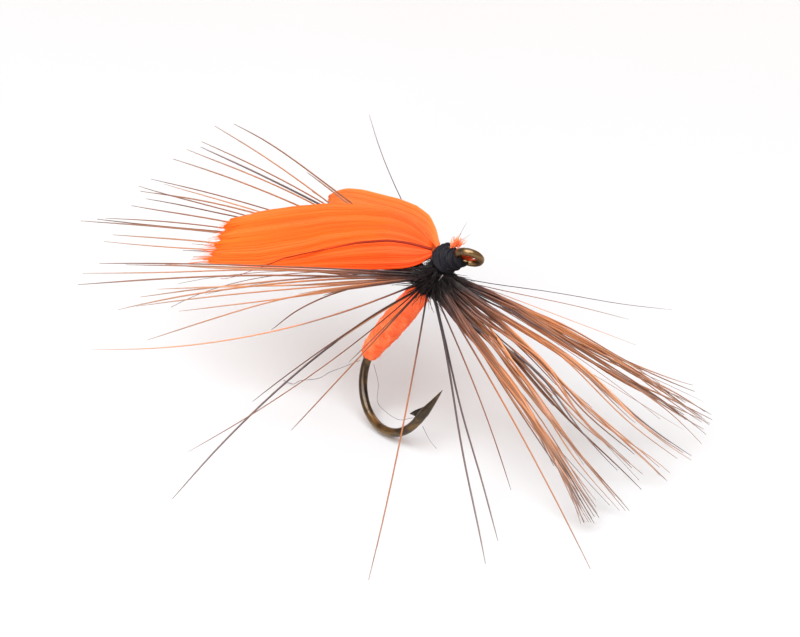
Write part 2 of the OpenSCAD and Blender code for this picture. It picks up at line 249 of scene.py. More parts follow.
# ---------------------------------------------------------------- materials
class Nodes:
    """A short way to write a node material."""

    def __init__(self, name):
        self.material = bpy.data.materials.new(name)
        self.material.use_nodes = True
        self.tree = self.material.node_tree
        self.tree.nodes.clear()
        self.out = self.tree.nodes.new("ShaderNodeOutputMaterial")

    def node(self, kind, **inputs):
        n = self.tree.nodes.new("ShaderNode" + kind)
        for key, value in inputs.items():
            self.put(n, key.replace("_", " "), value)
        return n

    def put(self, n, key, value):
        socket = n.inputs[int(key)] if key.isdigit() else n.inputs[key]
        if isinstance(value, bpy.types.NodeSocket):
            self.tree.links.new(value, socket)
        else:
            socket.default_value = value

    def mark(self, name):
        n = self.node("Attribute")
        n.attribute_name = name
        return n.outputs["Fac"]

    def ramp(self, factor, *stops):
        n = self.node("ValToRGB", Fac=factor)
        marks = n.color_ramp.elements
        while len(marks) < len(stops):
            marks.new(0.5)
        for mark, (position, colour) in zip(marks, stops):
            mark.position = position
            mark.color = (*colour, 1)
        return n.outputs["Color"]

    def mix(self, factor, a, b, blend="MIX"):
        n = self.tree.nodes.new("ShaderNodeMix")
        n.data_type = "RGBA"
        n.blend_type = blend
        for socket, value in ((n.inputs[0], factor), (n.inputs[6], a), (n.inputs[7], b)):
            if isinstance(value, bpy.types.NodeSocket):
                self.tree.links.new(value, socket)
            elif isinstance(value, tuple):
                socket.default_value = (*value, 1)
            else:
                socket.default_value = value
        return n.outputs[2]

    def math(self, operation, a, b=0.0, clamp=False):
        n = self.tree.nodes.new("ShaderNodeMath")
        n.operation = operation
        n.use_clamp = clamp
        self.put(n, "0", a)
        self.put(n, "1", b)
        return n.outputs[0]

    def noise(self, scale, detail=2.0):
        coords = self.node("TexCoord").outputs["Object"]
        return self.node("TexNoise", Vector=coords, Scale=scale, Detail=detail).outputs["Fac"]

    def bump(self, height, distance, strength=1.0):
        return self.node("Bump", Height=height, Distance=distance, Strength=strength).outputs["Normal"]

    def surface(self, shader):
        self.tree.links.new(shader, self.out.inputs["Surface"])
        return self.material

    def through(self, share, front, colour):
        """Some of the light goes through a thin fibre."""
        back = self.node("BsdfTranslucent", Color=colour)
        mixed = self.node("MixShader", Fac=share)
        self.tree.links.new(front, mixed.inputs[1])
        self.tree.links.new(back.outputs[0], mixed.inputs[2])
        return mixed.outputs[0]


def barb_material():
    """Hackle: near black at the root, brown, then ginger with a pale tip; a few barbs stay black."""
    m = Nodes("hackle_barb")
    along = m.mark("along")
    tone = m.mark("tone")
    mottle = m.noise(1500.0, 3.0)
    shifted = m.math("ADD", along, m.math("MULTIPLY", m.math("SUBTRACT", mottle, 0.5), 0.16), clamp=True)
    ginger = m.ramp(
        shifted,
        (0.0, (0.014, 0.010, 0.010)),
        (0.07, (0.030, 0.016, 0.014)),
        (0.14, (0.100, 0.040, 0.028)),
        (0.24, (0.230, 0.088, 0.050)),
        (0.42, (0.470, 0.176, 0.068)),
        (0.75, (0.460, 0.215, 0.112)),
        (1.0, (0.330, 0.230, 0.185)),
    )
    black = m.ramp(shifted, (0.0, (0.012, 0.010, 0.011)), (0.4, (0.080, 0.046, 0.046)), (1.0, (0.22, 0.16, 0.15)))
    colour = m.mix(m.ramp(tone, (0.82, (0, 0, 0)), (0.90, (1, 1, 1))), ginger, black)
    shade = m.ramp(
        tone, (0.0, (0.24, 0.19, 0.19)), (0.3, (0.62, 0.56, 0.56)), (0.55, (1.1, 1.05, 1.0)),
        (0.8, (1.65, 1.75, 1.8)), (0.88, (1, 1, 1)),
    )
    colour = m.mix(1.0, colour, shade, "MULTIPLY")
    skin = m.node(
        "BsdfPrincipled", Base_Color=colour, Roughness=0.38, Specular_IOR_Level=0.4,
        Normal=m.bump(m.noise(9000.0, 2.0), 0.00002, 0.4),
    )
    return m.surface(m.through(0.22, skin.outputs[0], colour))


def wing_material():
    """Dyed feather: satin orange, redder near the stem and root, lighter to the tip."""
    m = Nodes("orange_feather")
    along = m.mark("along")
    across = m.mark("across")
    tone = m.mark("tone")
    lane = m.node("CombineXYZ", X=m.math("MULTIPLY", m.mark("row"), 7.0), Y=m.math("MULTIPLY", along, 1.3))
    streak = m.node("TexNoise", Vector=lane.outputs[0], Scale=1.0, Detail=4.0).outputs["Fac"]
    shifted = m.math("ADD", along, m.math("MULTIPLY", m.math("SUBTRACT", streak, 0.5), 0.25), clamp=True)
    upper = m.ramp(
        shifted, (0.0, (0.90, 0.085, 0.003)), (0.25, (0.95, 0.115, 0.004)), (0.6, (0.97, 0.116, 0.004)),
        (1.0, (1.0, 0.165, 0.010)),
    )
    lower = m.ramp(
        shifted, (0.0, (0.90, 0.070, 0.003)), (0.35, (0.95, 0.100, 0.004)), (0.75, (0.97, 0.120, 0.005)),
        (1.0, (1.0, 0.160, 0.010)),
    )
    colour = m.mix(across, upper, lower)
    streaked = m.ramp(streak, (0.34, (0.98, 0.86, 0.84)), (0.52, (1, 1, 1)), (0.70, (1.0, 1.10, 1.12)))
    colour = m.mix(1.0, colour, streaked, "MULTIPLY")
    colour = m.mix(1.0, colour, m.ramp(tone, (0.0, (0.92, 0.84, 0.82)), (0.5, (1, 1, 1))), "MULTIPLY")
    # painted light: the palest fibres, which are nearly all of the left wing's, are lighter still, brightening the far
    # wing where it faces away from the lamps
    colour = m.mix(m.math("SUBTRACT", tone, 0.6, clamp=True), colour, (1.0, 0.42, 0.13))
    skin = m.node(
        "BsdfPrincipled", Base_Color=colour, Roughness=0.5, Specular_IOR_Level=0.22, Sheen_Weight=0.12,
        Sheen_Roughness=0.4, Sheen_Tint=(1.0, 0.45, 0.15, 1), Normal=m.bump(m.noise(12000.0, 2.0), 0.00001, 0.3),
    )
    return m.surface(m.through(0.35, skin.outputs[0], colour))


def stem_material():
    """Dark red at the root, fading into the vane: the wings' stems, whose dark part paints the shade in the right
    wing's crease where the upper vane overlaps the lower, and the feather ends in the eye.
    """
    m = Nodes("feather_stem")
    along = m.mark("along")
    colour = m.ramp(
        along, (0.0, (0.22, 0.020, 0.008)), (0.35, (0.20, 0.018, 0.007)), (0.7, (0.60, 0.05, 0.006)),
        (1.0, (1.0, 0.15, 0.015)),
    )
    skin = m.node(
        "BsdfPrincipled", Base_Color=colour, Roughness=0.6, Specular_IOR_Level=0.08,
        Normal=m.bump(m.noise(6000.0), 0.00002, 0.5),
    )
    return m.surface(skin.outputs[0])


def dubbing_material():
    """Coral orange wool, lighter where it is thin; a small emission makes it glow, painting extra light onto it."""
    m = Nodes("orange_dubbing")
    tone = m.mark("tone")
    cloud = m.noise(2200.0, 4.0)
    colour = m.ramp(
        m.math("ADD", m.math("MULTIPLY", cloud, 0.6), m.math("MULTIPLY", tone, 0.4), clamp=True),
        (0.25, (1.0, 0.150, 0.036)), (0.5, (1.0, 0.255, 0.078)), (0.8, (1.0, 0.42, 0.18)),
    )
    # painted light: a small emission makes the wool glow, lifting it out of the shade under the collar
    skin = m.node(
        "BsdfPrincipled", Base_Color=colour, Roughness=0.75, Specular_IOR_Level=0.2, Sheen_Weight=0.5,
        Sheen_Tint=(1.0, 0.5, 0.35, 1), Emission_Color=colour, Emission_Strength=0.16,
        Normal=m.bump(m.noise(8000.0, 3.0), 0.00004, 0.6),
    )
    return m.surface(m.through(0.4, skin.outputs[0], colour))


def thread_material():
    """Waxed black thread with a slight sheen, each turn ribbed by its twist."""
    m = Nodes("tying_thread")
    tone = m.mark("tone")
    colour = m.ramp(
        m.math("ADD", m.math("MULTIPLY", m.noise(5000.0, 3.0), 0.5), m.math("MULTIPLY", tone, 0.5)),
        (0.3, (0.004, 0.004, 0.006)), (0.7, (0.016, 0.014, 0.018)),
    )
    skin = m.node(
        "BsdfPrincipled", Base_Color=colour, Roughness=0.6, Specular_IOR_Level=0.12,
        Normal=m.bump(m.noise(14000.0, 2.0), 0.00002, 0.7),
    )
    return m.surface(skin.outputs[0])


def hook_material():
    """Bronzed wire: a dark lacquer over steel, with a painted golden highlight where the tone mark is high, and fine
    drawing marks.
    """
    m = Nodes("hook_wire")
    # the tone mark lifts the colour towards gold: a painted highlight on the ring and the lower bend
    cloud = m.math("ADD", m.noise(1400.0, 4.0), m.math("MULTIPLY", m.mark("tone"), 0.20))
    colour = m.ramp(
        cloud, (0.3, (0.024, 0.018, 0.015)), (0.55, (0.058, 0.040, 0.024)), (0.75, (0.190, 0.115, 0.046)),
    )
    rough = m.math("ADD", 0.22, m.math("MULTIPLY", m.noise(6000.0, 3.0), 0.2))
    skin = m.node(
        "BsdfPrincipled", Base_Color=colour, Metallic=0.85, Roughness=rough, Coat_Weight=0.3, Coat_Roughness=0.15,
        Coat_Tint=(1.0, 0.86, 0.62, 1), Normal=m.bump(m.noise(7000.0, 3.0), 0.00001, 0.35),
    )
    return m.surface(skin.outputs[0])


def cement_material():
    """Clear lacquer: seen through, with a bright wet gloss."""
    m = Nodes("clear_cement")
    clear = m.node("BsdfTransparent", Color=(0.93, 0.92, 0.90, 1))
    gloss = m.node("BsdfGlossy", Roughness=0.22, Normal=m.bump(m.noise(2500.0, 3.0), 0.00004, 0.8))
    edge = m.node("Fresnel", IOR=1.45)
    mixed = m.node("MixShader", Fac=m.math("MULTIPLY", edge.outputs[0], 0.12))
    m.tree.links.new(clear.outputs[0], mixed.inputs[1])
    m.tree.links.new(gloss.outputs[0], mixed.inputs[2])
    return m.surface(mixed.outputs[0])


def plain_material(name, colour, rough):
    """Small trim: one colour with a little variation."""
    m = Nodes(name)
    dark = tuple(0.7 * c for c in colour)
    tint = m.ramp(m.noise(3000.0, 3.0), (0.35, dark), (0.65, colour))
    skin = m.node("BsdfPrincipled", Base_Color=tint, Roughness=rough)
    return m.surface(skin.outputs[0])


BARB = barb_material()
WING = wing_material()
STEM = stem_material()
DUBBING = dubbing_material()
THREAD = thread_material()
HOOK = hook_material()
CEMENT = cement_material()


# ---------------------------------------------------------------- hook
def build_hook():
    """One bent wire from the closed eye to the needle point, with the barb cut from it."""
    ring = [
        EYE + RING_R * (-math.cos(a) * EYE_OUT + math.sin(a) * EYE_ACROSS)
        for a in np.linspace(math.radians(338), math.radians(22), 56)
    ]
    stem_start = EYE - (RING_R + 0.42) * EYE_OUT
    corner = wire_point(SHANK)
    stem = [stem_start + t * (corner - stem_start) for t in np.linspace(0, 0.8, 5)]
    turned = [
        corner + 0.28 * ((1 - t) ** 2 * EYE_OUT - t ** 2 * np.array([1, 0, 0])) for t in np.linspace(0.12, 0.88, 6)
    ]
    shank = [wire_point(x) for x in np.linspace(SHANK - 0.35, 0.05, 26)]
    bend = [wire_point(-BEND_R * a) for a in np.linspace(0.03, math.pi - 0.03, 64)]
    spear_z = -2 * BEND_R
    spear_x = np.linspace(0.1, 2.5, 30)
    spear = [np.array([x, 0, spear_z + 0.012 * x * x]) for x in spear_x]
    path = np.array(ring + stem + turned + shank + bend + spear)
    n_ring, n = len(ring), len(path)
    radius = np.full(n, WIRE_R)
    radius[:n_ring] = RING_WIRE_R
    radius[:3] = 0.12, 0.17, 0.19
    radius[n_ring:n_ring + 5] = np.linspace(RING_WIRE_R, WIRE_R, 5)
    point_from = 0.85
    reach = np.clip((spear_x - point_from) / (2.5 - point_from), 0, 1)
    radius[-len(spear):] = WIRE_R * (1 - reach) ** 0.92 + 0.012
    # painted highlight: the wire's colour turns golden on the ring and on the lower half of the bend, where light
    # glints
    order = np.arange(n)
    low_bend = n - len(spear) - 20
    painted_glint = np.clip((n_ring + 4 - order) / 6, 0, 1) + np.exp(-((order - low_bend) / 13.0) ** 2)
    wire = Shells("tone")
    wire.tube(path, radius, sides=28, side=(0, 1, 0.01), tone=painted_glint)
    # the barb, a thin tongue raised from the inside of the spear: (along, rise, half-thickness)
    blade = (
        (0.18, 0.10, 0.12), (0.16, 0.24, 0.11), (-0.14, 0.62, 0.02), (-0.17, 0.655, 0.008),
        (-0.12, 0.65, 0.02), (0.35, 0.49, 0.07), (1.02, 0.20, 0.09), (1.25, 0.05, 0.05),
    )
    m = len(blade)
    points = [(x, y * half, spear_z + rise) for y in (1, -1) for x, rise, half in blade]
    faces = [tuple(range(m)), tuple(range(2 * m - 1, m - 1, -1))]
    faces += [(k, k + m, (k + 1) % m + m, (k + 1) % m) for k in range(m)]
    wire.add(points, faces)
    piece = wire.build("hook_wire", HOOK)
    shading = piece.modifiers.new("soft_edges", "WEIGHTED_NORMAL")
    shading.keep_sharp = True
    finish_piece(piece, BODY, "hook_wire", "hook", "hook_eye")


# ---------------------------------------------------------------- thread
def head_lump(s, angle):
    """How far the hand-wound head stands out of round."""
    return 0.045 * np.sin(2 * angle + 3.1 * s) + 0.03 * np.sin(3 * angle - 7 * s + 1)


def wound_thread(name, stations, node, turns, seed, strand=0.042, cross=0.0):
    """Thread laid in turns over a profile of (distance along the wire, radius, lift) stations.

    cross adds three more layers, with up to that share of the turns; two of them wind the other way.
    """
    draw = np.random.default_rng(seed)
    s_at, r_at, lift_at = (np.array(c, float) for c in zip(*stations))

    def around(s, angle, extra):
        r = np.interp(s, s_at, r_at) + extra + (head_lump(s, angle) if cross else 0)
        return round_wire(s, r, angle, np.interp(s, s_at, lift_at))

    shell = Shells("tone")
    # the core that the turns lie on
    a = full_circle(28)
    s_row = np.linspace(s_at[0], s_at[-1], 14)
    shell.sleeve(
        [around(s, a, -strand) for s in s_row] + [round_wire(s, WIRE_R + 0.01, a) for s in s_row[::-1]], tone=0.3,
    )
    # the turns
    steps = int(turns * 22)
    for layer, share in enumerate((1, -cross, 0.6 * cross, -0.35 * cross) if cross else (1,)):
        run = np.linspace(0, 1, steps)
        s = s_at[0] + (s_at[-1] - s_at[0]) * run
        wobble = np.cumsum(draw.normal(0, 0.004, steps))
        s = np.clip(s + (wobble - np.linspace(wobble[0], wobble[-1], steps)), s_at[0], s_at[-1])
        angle = 2 * math.pi * turns * share * run + draw.uniform(0, 6)
        lump = 0.012 * np.sin(angle * 0.37 + layer) + 0.3 * strand * min(layer, 2)
        path = np.array([around(*at) for at in zip(s, angle, lump - 0.35 * strand)])
        shell.tube(path, strand, strand * 0.7, sides=6, side=(1, 0, 0), tone=0.5 + 0.4 * np.sin(angle * 0.21))
    finish_piece(shell.build(name, THREAD), BODY, "tying_thread", node)


def build_threads():
    """The thread from the body's tail end to the whip finish; gives back the head's profile."""
    underbody = [(BODY_BACK, UNDERBODY_R, 0), (0, UNDERBODY_R, 0), (COLLAR_FRONT, UNDERBODY_R, 0)]
    wound_thread("thread_on_shank", underbody, "thread_underbody", 60, 11, strand=0.03)
    band = [(COLLAR_FRONT + 0.01, UNDERBODY_R + 0.16, 0), (HEAD_BACK - 0.01, UNDERBODY_R + 0.2, 0)]
    wound_thread("thread_behind_wings", band, "hackle_tie_band", 2, 12)
    wraps = [
        (HEAD_BACK, 0.56, HEAD_LIFT / 2), (HEAD_BACK + 0.08, HEAD_R, HEAD_LIFT),
        (SHANK, HEAD_R + 0.03, HEAD_LIFT), (WRAPS_FRONT, HEAD_R, HEAD_LIFT),
    ]
    wound_thread("thread_over_wing_roots", wraps, "wing_tie_wraps", 7, 13, cross=0.45)
    head = [
        (WRAPS_FRONT - 0.06, HEAD_R - 0.01, HEAD_LIFT), (WRAPS_FRONT + 0.2, HEAD_R, HEAD_LIFT),
        (HEAD_FRONT - 0.15, HEAD_R - 0.12, 0.1), (HEAD_FRONT, 0.44, 0.05),
    ]
    wound_thread("thread_head", head, "head_thread", 8, 14, cross=0.5)
    finish = [(HEAD_FRONT - 0.04, 0.50, 0.05), (HEAD_FRONT + 0.2, 0.48, 0.04),
              (FINISH_FRONT + 0.15, 0.46, 0.03), (FINISH_FRONT + 0.40, 0.34, 0)]
    wound_thread("thread_whip_finish", finish, "whip_finish", 9, 15)
    return head


def build_cement(head):
    """A thin uneven coat of lacquer over the head."""
    s_at, r_at, lift_at = (np.array(c, float) for c in zip(*head))
    s_row = np.linspace(s_at[0] + 0.02, s_at[-1] - 0.01, 18)
    a = full_circle(40)
    rings = []
    for skin, order in ((0.060, s_row), (0.050, s_row[::-1])):
        for s in order:
            edge = min(1, (s - s_row[0]) / 0.2, (s_row[-1] - s) / 0.2)
            r = np.interp(s, s_at, r_at) - 0.05 + skin * (0.3 + 0.7 * edge) + head_lump(s, a)
            rings.append(round_wire(s, r, a, np.interp(s, s_at, lift_at)))
    shell = Shells()
    shell.sleeve(rings)
    finish_piece(shell.build("cement_coat", CEMENT), BODY, "clear_cement", "head_cement")


# ---------------------------------------------------------------- body
def body_radius(s):
    at = [BODY_BACK, BODY_BACK + 0.12, BODY_BACK + 0.5, 0, 0.8, 1.8, 3.0, BODY_FRONT - 0.3, BODY_FRONT]
    r = [0.30, 0.42, 0.51, 0.55, 0.63, 0.67, 0.65, 0.58, 0.47]
    return np.interp(s, at, r)


def build_body():
    """Dubbing twisted round the shank: a lumpy core with spiral furrows, covered in fine fibres."""
    shell = Shells("tone")
    s_row = np.linspace(BODY_BACK + 0.01, BODY_FRONT, 120)
    a = full_circle(72)
    outer = []
    for s in s_row:
        furrow = 0.035 * np.abs(np.sin((a + 2 * math.pi * s / FURROW_PITCH) / 2))
        lump = 0.035 * np.sin(2 * a + 2.3 * s) * np.sin(1.9 * s) + 0.02 * np.sin(5 * a - 4.1 * s)
        outer.append(round_wire(s, body_radius(s) - 0.045 + furrow + lump, a))
    shell.sleeve(outer + [round_wire(s, UNDERBODY_R + 0.005, a) for s in s_row[::-1]], tone=0.4)
    draw = np.random.default_rng(21)
    t = np.linspace(0, 1, 6)
    for _ in range(DUBBING_FIBRES):
        start_s = draw.uniform(BODY_BACK + 0.05, BODY_FRONT - 0.05)
        length = draw.uniform(0.5, 1.3)
        lean = draw.normal(0.35, 0.35)
        start_angle = draw.uniform(0, 2 * math.pi)
        lift = draw.uniform(0.0, 0.05) + (draw.random() < 0.06) * draw.uniform(0.02, 0.09)
        s = np.clip(start_s + lean * length * t, BODY_BACK + 0.02, BODY_FRONT + 0.05)
        radius = body_radius(s) - 0.03 + lift * np.sin(math.pi * t) ** 0.7 + 0.02 * t
        angle = start_angle + math.sqrt(max(0.05, 1 - min(lean * lean, 0.9))) * length * t / 0.6
        path = np.array([round_wire(*at) for at in zip(s, radius, angle)])
        shell.tube(path, 0.014 * (1 - 0.6 * t), sides=4, tone=draw.uniform(0, 1))
    finish_piece(shell.build("dubbed_body", DUBBING), BODY, "orange_dubbing", "body_dubbing", "body_tail_turns")


# ---------------------------------------------------------------- hackle
def barb_lines(node):
    """Each barb's centre line in a CAD spray, root to tip, in hook-frame millimetres."""
    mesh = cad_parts[node].data
    points = unplace([v.co for v in mesh.vertices])
    keys = {}
    index = np.array([keys.setdefault(tuple(k), len(keys)) for k in np.round(points, 4).tolist()])
    spots = np.zeros((len(keys), 3))
    spots[index] = points
    group = list(range(len(keys)))

    def top(i):
        while group[i] != i:
            group[i] = group[group[i]]
            i = group[i]
        return i

    for e in mesh.edges:
        group[top(index[e.vertices[0]])] = top(index[e.vertices[1]])
    shells = {}
    for i in range(len(spots)):
        shells.setdefault(top(i), []).append(i)
    lines = []
    for members in shells.values():
        p = spots[members]
        from_shank = np.hypot(p[:, 1], p[:, 2])
        root = p[np.argsort(from_shank)[:4]].mean(0)
        order = np.argsort(np.linalg.norm(p - root, axis=1))
        lines.append(np.array([p[order[k:k + 4]].mean(0) for k in range(0, len(order), 4)]))
    return sorted(lines, key=lambda line: tuple(np.round(line[-1], 3)))


# A barb's way is given by its clock, the angle round the shank from straight down to the fly's right, and
# its sweep, the angle towards the bend, both in degrees.
# The strands that the front and web sprays gather into: (clock, sweep, how tightly, sway, lobes of the sway)
STRANDS = (
    (317, -8, 0.86, 0.10, 1.5), (323, -9, 0.84, -0.34, 2.6), (329, -7, 0.80, 0.42, 3.0), (334, -5, 0.80, -0.44, 2.4),
    (340, -6, 0.78, 0.42, 3.3), (346, -3, 0.84, -0.30, 2.1), (352, -1, 0.90, 0.14, 2.4),
)
# the few barbs that are near black: (clock, sweep)
DARK_WAYS = ((12, 3), (13, 7), (63.5, 32), (173, 29), (205, 17), (270, 5), (326, -9), (344, -4))
# The sprays keep the CAD's names. right_front stands on the fly's left: it lies at the right of the resting view.
# (name, seed, fibres to a barb, how far they part, half-thickness, gathered or not, bow)
SPRAYS = (
    ("right_front", 41, 2, 0.26, 0.054, True, 0.35),
    ("web", 42, 3, 0.20, 0.052, True, 0.35),
    ("belly", 43, 1, 0.20, 0.056, False, 0.35),
    ("right_rear", 44, 2, 0.55, 0.057, False, 0.6),
    ("back", 45, 2, 0.50, 0.054, False, 0.7),
    ("left", 46, 1, 0.20, 0.022, False, 0.35),
)
# broken or crossed barbs that curl away on their own:
# (clock, sweep, length, added sweep, added clock, place on the quill, half-thickness)
LOOSE_BARBS = (
    (114, 36, 14.0, -20, -80, 0.4, 0.040),
    (118, 34, 13.0, -16, -50, 0.4, 0.034),
    (110, 33, 11.5, -10, -34, 0.5, 0.030),
    (326, -14, 12.4, 4, 10, 0.8, 0.034),
    (329, -12, 13.4, 6, 12, 0.8, 0.030),
    (346, -2, 15.0, -6, -8, 0.4, 0.040),
    (336, -3, 14.6, 10, -6, 0.6, 0.034),
)
FLOOR_GAP = 0.03 * MM


def clock_and_sweep(path):
    """The way a barb points, from its root to its tip."""
    way = unit(path[-1] - path[0])
    return math.degrees(math.atan2(-way[1], -way[2])) % 360, math.degrees(math.asin(-way[0]))


def gather(lines, n):
    """Draws each barb into its strand soon after the quill; strands wander a little and open at their tips."""
    t = np.linspace(0, 1, n)
    paths = [smooth_line(line, n) for line in lines]
    nearest = []
    for path in paths:
        clock, sweep = clock_and_sweep(path)
        nearest.append(int(np.argmin([abs(clock - strand[0]) + abs(sweep - strand[1]) for strand in STRANDS])))
    rise = np.clip((t - 0.02) / 0.24, 0, 1) ** 0.8
    open_tip = 1 - 0.36 * np.clip((t - 0.66) / 0.34, 0, 1) ** 1.6
    for strand, (_, _, tight, sway, lobes) in enumerate(STRANDS):
        members = [i for i, b in enumerate(nearest) if b == strand]
        if not members:
            continue
        middle = np.mean([paths[i] for i in members], axis=0)
        wander = sway * np.sin(math.pi * lobes * t) * np.clip(t / 0.2, 0, 1)
        aside = unit(np.cross(middle[-1] - middle[0], (1.0, 0.2, 0.1)))
        for i in members:
            paths[i] = paths[i] + (tight * rise * open_tip)[:, None] * (middle - paths[i]) + wander[:, None] * aside
    return paths


def dark_barbs(lines):
    """Which of the lines are the near-black barbs: the ones nearest each dark way, where one is near enough."""
    found = set()
    pointing = [clock_and_sweep(line) for line in lines]
    for dark_clock, dark_sweep in DARK_WAYS:
        off = [abs(dark_clock - clock) + abs(dark_sweep - sweep) for clock, sweep in pointing]
        if min(off) < 2.5:
            found.add(int(np.argmin(off)))
    return found


def build_spray(name, seed, fibres, spread, base, gathered, bow):
    """Every CAD barb becomes one or more fine tapered fibres that part towards their tips."""
    draw = np.random.default_rng(seed)
    shell = Shells("along", "tone")
    n = 28
    t = np.linspace(0, 1, n)
    node = "hackle_barbs_" + name
    lines = barb_lines(node)
    dark = dark_barbs(lines)
    floor_turn = REST[2] * MM
    floor_at = EYE @ floor_turn + FLOOR
    sway_size = 0.24 if gathered else 0.10
    shortest, longest = (0, 12) if gathered else (11, 20)
    for number, path in enumerate(gather(lines, n) if gathered else [smooth_line(line, n) for line in lines]):
        is_dark = number in dark
        path[0] = path[0] - 0.16 * unit(path[0] * np.array([0, 1, 1]))
        u, v = carried_frames(path, (1, 0, 0))
        count = fibres if draw.random() < 0.75 else max(1, fibres - 1)
        count = 1 if is_dark and not gathered else count
        tone_here = draw.random() if gathered else 0.5 * draw.random()
        kink, kinks = draw.uniform(-0.12, 0.12), draw.uniform(2.5, 4.5)
        bend_u, bend_v = draw.normal(0, 0.02 if is_dark else bow, 2)
        for k in range(count):
            phase = draw.uniform(0, 2 * math.pi)
            apart = spread * draw.uniform(0.3, 1.0) * (0 if k == 0 else 1)
            out = apart * t ** 1.6 + 0.035 * math.sqrt(k)
            sway = draw.uniform(-1, 1) * sway_size * np.sin(math.pi * t * draw.uniform(1.0, 3.6))
            sway = sway + kink * t * np.sin(kinks * t)
            bend = t ** 2 - 0.6 * t
            fibre = path + (out * math.cos(phase) + sway + bend_u * bend)[:, None] * u
            fibre = fibre + (out * math.sin(phase) + bend_v * bend)[:, None] * v
            end = n - (0 if k == 0 else draw.integers(shortest, longest))
            fibre = fibre[:end]
            above = fibre @ floor_turn - floor_at
            fibre = fibre + np.maximum(0, FLOOR_GAP - above)[:, None] / MM * REST[2]
            along = t[:end] / t[end - 1]
            taper = 1 - 0.35 * along - 0.40 * np.clip((along - 0.8) / 0.2, 0, 1) ** 2
            wide = base * taper * draw.uniform(0.85, 1.15) * (1.3 if is_dark and fibres < 3 else 1)
            flat = 0.75
            if gathered and draw.random() < 0.3:
                # a flattened strip where barbs lie stuck together
                wide = wide * (1 + 0.6 * np.sin(math.pi * np.clip(along * 1.15, 0, 1)))
                flat = 0.3
            if is_dark and k == 0:
                tone = 1.0
            else:
                tone = (0.8 if gathered else 1.05) * (0.6 * tone_here + 0.4 * draw.random())
            shell.tube(
                fibre, wide, wide * flat, sides=6, side=(1, 0, 0), turn=draw.uniform(0, 3), along=along, tone=tone,
            )
    finish_piece(shell.build("barbs_" + name, BARB), BODY, "hackle_barb", node)


def build_quill():
    """The wound stem, with the stub of each barb's root standing on it."""
    shell = Shells("along", "tone")
    turns = 6
    steps = turns * 40
    angle = 2 * math.pi * turns * np.linspace(0, 1, steps)
    r = UNDERBODY_R + 0.09
    x = np.linspace(COLLAR_BACK + 0.08, COLLAR_FRONT - 0.08, steps)
    path = np.stack([x, -r * np.sin(angle), -r * np.cos(angle)], 1)
    shell.tube(path, 0.10, 0.07, sides=8, side=(1, 0, 0), along=0.02, tone=0.3)
    draw = np.random.default_rng(33)
    t = np.linspace(0, 1, 6)
    lines = [line for name, *_ in SPRAYS for line in barb_lines("hackle_barbs_" + name)]
    for _ in range(ROOT_FIBRES):
        line = lines[draw.integers(len(lines))]
        way = unit(unit(line[1] - line[0]) + draw.normal(0, 0.16, 3))
        around = math.atan2(way[1], way[2]) + draw.normal(0, 0.3)
        out = draw.uniform(0.36, 0.50)
        x = draw.uniform(COLLAR_BACK + 0.05, COLLAR_FRONT)
        start = np.array([x, out * math.sin(around), out * math.cos(around)])
        # long ones only where they don't point up at the wings
        length = 0.3 + 1.3 * draw.random() ** 2.5 if way[2] < 0.3 else draw.uniform(0.2, 0.45)
        root = start + (length * t)[:, None] * way + (0.1 * t ** 2)[:, None] * draw.normal(0, 1, 3)
        shell.tube(root, 0.024 * (1 - 0.7 * t), sides=5, along=0.07 * t * length, tone=draw.uniform(0, 0.35))
    finish_piece(shell.build("wound_quill", BARB), BODY, "hackle_stem", "hackle_quill")


def build_loose_barbs():
    draw = np.random.default_rng(47)
    shell = Shells("along", "tone")
    t = np.linspace(0, 1, 28)
    for clock, sweep, length, more_sweep, more_clock, place_on, thick in LOOSE_BARBS:
        c = np.radians(clock + more_clock * (t - 0.5))
        s = np.radians(sweep + more_sweep * (t - 0.5))
        way = np.stack([-np.sin(s), -np.cos(s) * np.sin(c), -np.cos(s) * np.cos(c)], 1)
        start = np.array([COLLAR_BACK + 0.1 + 1.5 * place_on, -0.40 * math.sin(c[0]), -0.40 * math.cos(c[0])])
        path = start + np.cumsum(way, axis=0) * length / len(t)
        shell.tube(path, thick * (1 - 0.65 * t), sides=6, along=t, tone=1.0 if draw.random() < 0.5 else 0.2)
    finish_piece(shell.build("loose_barbs", BARB), BODY, "hackle_barb")


def build_hackle():
    build_quill()
    build_loose_barbs()
    for spray in SPRAYS:
        build_spray(*spray)


# ---------------------------------------------------------------- wings
# stations: (share of the length, height above the middle line, depth below it)
# stem: (share of the length, share of the width from the top edge)
WINGS = {
    "wing_right": dict(
        side=-1, root=(6.35, -0.26, 0.95), up=40, out=27, length=12.7, bow=0.35, seed=61,
        stations=[
            (0.00, 0.30, 0.20), (0.04, 1.05, 0.66), (0.10, 1.70, 0.92), (0.18, 2.10, 1.02),
            (0.30, 2.25, 1.08), (0.45, 2.25, 1.12), (0.60, 2.05, 1.12), (0.75, 1.75, 1.12),
            (0.88, 1.40, 1.10), (0.96, 1.05, 1.04), (1.00, 0.75, 0.95),
        ],
        stem=[(0.0, 0.50), (0.17, 0.53), (0.32, 0.60), (0.45, 0.70), (0.55, 0.81), (0.75, 0.96), (1.0, 1.0)],
    ),
    "wing_left": dict(
        side=1, root=(6.35, 0.16, 0.97), up=55, out=3, length=9.8, bow=0.06, seed=62,
        stations=[
            (0.00, 0.30, 0.18), (0.05, 1.00, 0.60), (0.13, 1.55, 1.05), (0.25, 1.75, 1.35),
            (0.40, 1.72, 1.50), (0.56, 1.55, 1.50), (0.72, 1.40, 1.40), (0.85, 1.15, 1.15),
            (0.94, 0.80, 0.80), (1.00, 0.35, 0.35),
        ],
        stem=[(0.0, 0.5), (0.3, 0.46), (0.6, 0.44), (1.0, 0.5)],
    ),
}


